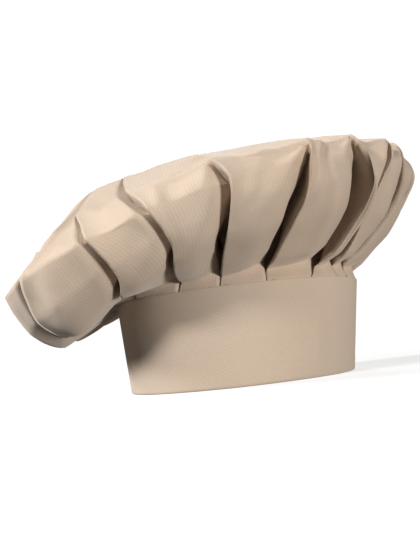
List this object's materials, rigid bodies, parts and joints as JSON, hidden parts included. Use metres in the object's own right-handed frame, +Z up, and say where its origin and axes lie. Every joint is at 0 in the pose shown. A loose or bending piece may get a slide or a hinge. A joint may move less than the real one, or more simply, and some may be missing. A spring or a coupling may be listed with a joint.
{
  "type": "chef toque",
  "caption": "Floppy pleated chef's hat: a cloth crown sewn into a stiffened headband with an adjustable hook-and-loop flap at the back.",
  "frame": {"origin": "centre of the head opening, in the plane of the headband's lower edge", "axes": "+Z up through the crown; -Y is the front of the hat, over the forehead; +X is the wearer's left; the crown flops over towards -X; the closing flap is at the back, on +Y"},
  "size_m": [0.3556, 0.3365, 0.1874],
  "materials": {
    "twill": "khaki polycotton twill, matt",
    "interfacing": "white non-woven stiffener",
    "terry": "soft looped cotton",
    "binding": "plain woven bias tape",
    "hook_and_loop": "nylon hook and loop tape",
    "label": "white satin ribbon"
  },
  "bodies": {
    "hat": {"crown": "twill", "headband_cover": "twill", "headband_stiffener": "interfacing", "sweatband": "terry", "seam_binding": "binding", "care_label": "label", "loop_tape_upper": "hook_and_loop", "loop_tape_lower": "hook_and_loop"},
    "flap": {"flap_cover": "twill", "flap_stiffener": "interfacing", "hook_tape_upper": "hook_and_loop", "hook_tape_lower": "hook_and_loop"}
  },
  "joints": [
    {"name": "flap_peel", "type": "hinge", "parent": "hat", "child": "flap", "pos_m": [-0.03019, 0.09766, 0], "axis": [-0.0096, 0.0311, 0.9995], "range_deg": [0, 80]}
  ]
}
